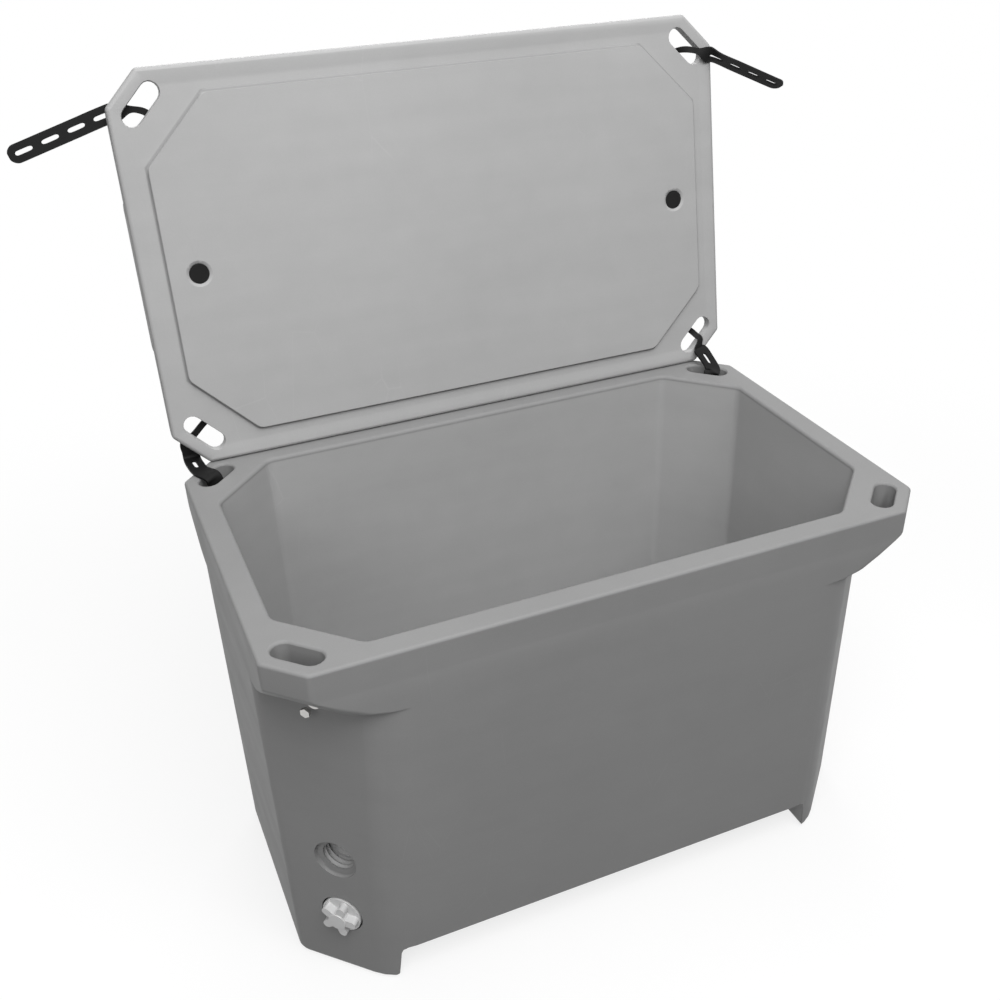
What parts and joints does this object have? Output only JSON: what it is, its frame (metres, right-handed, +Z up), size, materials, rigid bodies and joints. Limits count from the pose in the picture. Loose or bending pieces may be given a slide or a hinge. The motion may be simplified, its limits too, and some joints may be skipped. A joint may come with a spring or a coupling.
{
  "type": "insulated fish transport box",
  "caption": "Insulated double-walled fish box on two runners, with an open foam-filled lid held by rubber straps, cut corners with slotted ears and a threaded drain bung.",
  "frame": {"origin": "on the ground, under the middle of the tub", "axes": "+Z up, +X along the tub to the right as seen from the front, -Y to the front; the lid is hinged at the back"},
  "size_m": [1.2753, 0.7384, 1.2214],
  "materials": {
    "tub_plastic": "semi-matt grey polyethylene, rotomoulded",
    "lid_plastic": "semi-matt grey polyethylene, rotomoulded",
    "foam": "rigid polyurethane foam",
    "rubber": "matt black rubber",
    "port_plug": "slightly glossy black plastic",
    "bung_plastic": "light grey moulded plastic",
    "brass": "plain",
    "stainless": "stainless steel"
  },
  "bodies": {
    "tub": {"tub_shell": "tub_plastic", "tub_foam": "foam", "tub_plug_left": "port_plug", "tub_plug_right": "port_plug", "tub_inserts": "brass", "tub_washers": "stainless", "tub_bolt_front_left": "stainless", "tub_bolt_front_right": "stainless", "tub_bolt_rear_left": "stainless", "tub_bolt_rear_right": "stainless", "strap_rear_left": "rubber", "strap_rear_right": "rubber"},
    "lid": {"lid_shell": "lid_plastic", "lid_foam": "foam", "lid_plug_left": "port_plug", "lid_plug_right": "port_plug", "lid_inserts": "brass", "lid_washers": "stainless", "lid_bolt_front_left": "stainless", "lid_bolt_front_right": "stainless", "lid_bolt_rear_left": "stainless", "lid_bolt_rear_right": "stainless"},
    "gasket": {"bung_gasket": "rubber"},
    "bung": {"drain_bung": "bung_plastic"},
    "front_strap_left": {"strap_front_left": "rubber"},
    "front_strap_right": {"strap_front_right": "rubber"}
  },
  "joints": [
    {"name": "lid_hinge", "type": "hinge", "parent": "tub", "child": "lid", "pos_m": [0, 0.292, 0.6415], "axis": [1, 0, 0], "range_deg": [0, 100.6], "deforming": ["strap_rear_left", "strap_rear_right", "strap_front_right"]},
    {"name": "bung_slide", "type": "slide", "parent": "tub", "child": "gasket", "axis": [-0.7071, -0.7071, 0], "range_m": [0, 0.024]},
    {"name": "bung_turn", "type": "hinge", "parent": "gasket", "child": "bung", "pos_m": [-0.43174, -0.22126, 0.119], "axis": [-0.7071, -0.7071, 0], "range_deg": [0, 1080]},
    {"name": "front_strap_left_swivel", "type": "hinge", "parent": "lid", "child": "front_strap_left", "pos_m": [-0.42485, 0.40145, 1.1448], "axis": [0, 0.9829, -0.184], "range_deg": [-30, 100]},
    {"name": "front_strap_right_swivel", "type": "hinge", "parent": "lid", "child": "front_strap_right", "pos_m": [0.42485, 0.40145, 1.1448], "axis": [0, 0.9829, -0.184], "range_deg": [-15, 15]}
  ],
  "couplings": [
    {"joint": "bung_turn", "follows": "bung_slide", "rad_per_m": 785.4}
  ]
}
